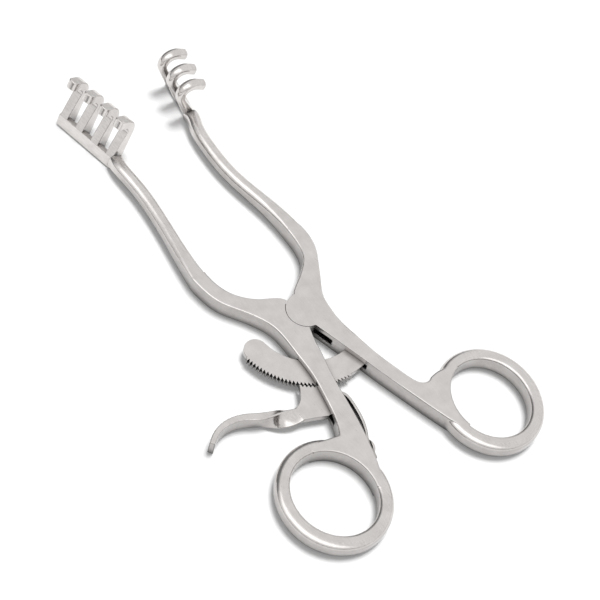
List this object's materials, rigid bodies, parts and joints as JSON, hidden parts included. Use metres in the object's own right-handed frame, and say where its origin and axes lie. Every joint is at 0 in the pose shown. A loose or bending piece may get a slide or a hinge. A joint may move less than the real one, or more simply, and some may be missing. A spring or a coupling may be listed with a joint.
{
  "type": "self retaining retractor",
  "caption": "Hinged steel retractor with finger rings, pronged blades and a toothed bar held by a sprung release lever.",
  "frame": {"origin": "axis of the box lock's hinge, on the flat underside of the arms", "axes": "+Y from the lock towards the prongs along the line midway between the arms, +Z out of the upper face, the way the prongs rise, +X towards the arm that carries the toothed bar"},
  "size_m": [0.0882, 0.1619, 0.0174],
  "materials": {
    "satin_steel": "satin",
    "plain_steel": "satin",
    "spring_steel": "satin"
  },
  "bodies": {
    "left": {"left_arm": "satin_steel", "lever_pin": "plain_steel", "leaf_spring": "spring_steel", "spring_screw": "plain_steel"},
    "right": {"right_arm": "satin_steel", "pivot_pin": "plain_steel", "toothed_bar": "plain_steel", "toothed_bar_rivets": "plain_steel"},
    "lever": {"release_lever": "satin_steel"}
  },
  "joints": [
    {"name": "box_lock", "type": "hinge", "parent": "left", "child": "right", "pos_m": [0, 0, 0], "axis": [0, 0, -1], "range_deg": [-13, 18]},
    {"name": "lever_hinge", "type": "hinge", "parent": "left", "child": "lever", "pos_m": [-0.0094, -0.024, 0], "axis": [0, 0, 1], "range_deg": [0, 8], "stiffness_Nm_per_rad": 0.6, "springref_deg": -5.73, "deforming": ["leaf_spring"]}
  ]
}
